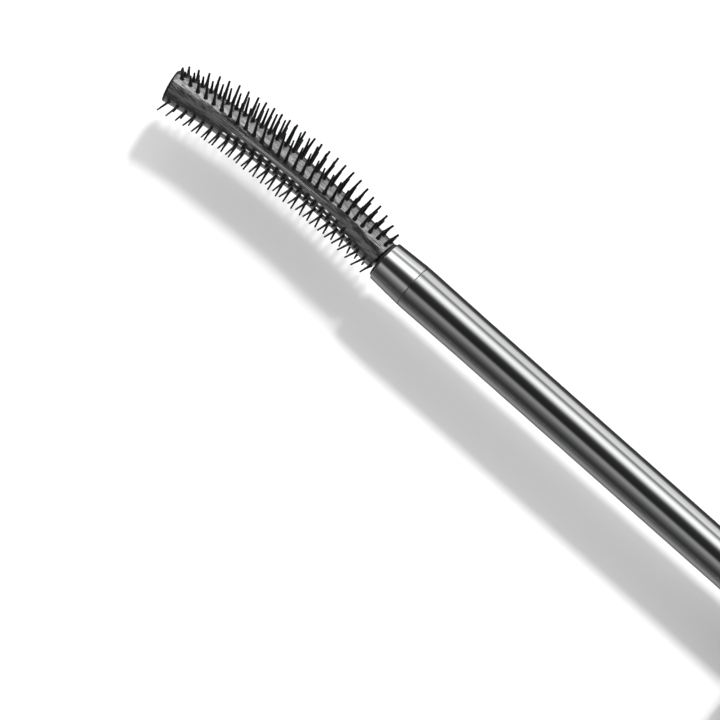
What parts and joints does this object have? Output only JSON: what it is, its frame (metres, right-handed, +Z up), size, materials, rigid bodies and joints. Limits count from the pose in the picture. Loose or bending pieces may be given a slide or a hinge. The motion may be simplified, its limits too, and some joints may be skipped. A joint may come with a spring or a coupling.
{
  "type": "mascara tube",
  "caption": "Opened mascara: a slim round metal-shelled bottle, and a capped wand drawn out of it, with a long bare metal stem and a curved brush.",
  "frame": {"origin": "middle of the row's length, under it on the surface it lies on", "axes": "+X along the common axis of bottle and wand, from the bottle's base to the cap's top; +Y towards the outside of the brush's bend; +Z up"},
  "size_m": [0.254, 0.016, 0.016],
  "materials": {
    "bristle_sleeve": "satin black elastomer",
    "brush_core": "black plastic",
    "stem_ferrule": "mirror-polished dark metal",
    "stem_sleeve": "mirror-polished dark metal",
    "stem_rod": "black plastic",
    "inner_cap": "black plastic",
    "cap_weight": "plain grey metal",
    "cap_spacer": "black plastic",
    "cap_shell": "mirror-polished dark metal",
    "cap_top_plate": "mirror-polished dark metal",
    "liner_washer": "soft white foam",
    "soft_close_ring": "black rubber",
    "bottle_vial": "black plastic",
    "bottle_sleeve": "mirror-polished dark metal",
    "shoulder_ring": "mirror-polished dark metal",
    "wiper": "soft translucent grey plastic",
    "mascara_paste": "thick wet black paste",
    "base_cap": "mirror-polished dark metal",
    "base_weight": "plain grey metal",
    "base_label": "blank matt sticker"
  },
  "bodies": {
    "bottle": {"bottle_vial": "bottle_vial", "bottle_sleeve": "bottle_sleeve", "shoulder_ring": "shoulder_ring", "wiper": "wiper", "mascara_paste": "mascara_paste", "base_cap": "base_cap", "base_weight": "base_weight", "base_label": "base_label"},
    "washer": {"liner_washer": "liner_washer"},
    "ring": {"soft_close_ring": "soft_close_ring"},
    "wand": {"bristle_sleeve": "bristle_sleeve", "brush_core": "brush_core", "stem_ferrule": "stem_ferrule", "stem_sleeve": "stem_sleeve", "stem_rod": "stem_rod", "inner_cap": "inner_cap", "cap_weight": "cap_weight", "cap_spacer": "cap_spacer", "cap_shell": "cap_shell", "cap_top_plate": "cap_top_plate"}
  },
  "joints": [
    {"name": "wand_draw", "type": "slide", "parent": "bottle", "child": "washer", "axis": [1, 0, 0], "range_m": [-0.11141, 0], "deforming": ["bristle_sleeve", "wiper"]},
    {"name": "cap_lift", "type": "slide", "parent": "washer", "child": "ring", "axis": [1, 0, 0], "range_m": [-0.00327, 0]},
    {"name": "cap_twist", "type": "hinge", "parent": "ring", "child": "wand", "pos_m": [0.08875, 0, 0.008], "axis": [1, 0, 0], "range_deg": [-470, 0]}
  ],
  "couplings": [
    {"joint": "cap_lift", "follows": "cap_twist", "m_per_rad": 0.00039789}
  ]
}
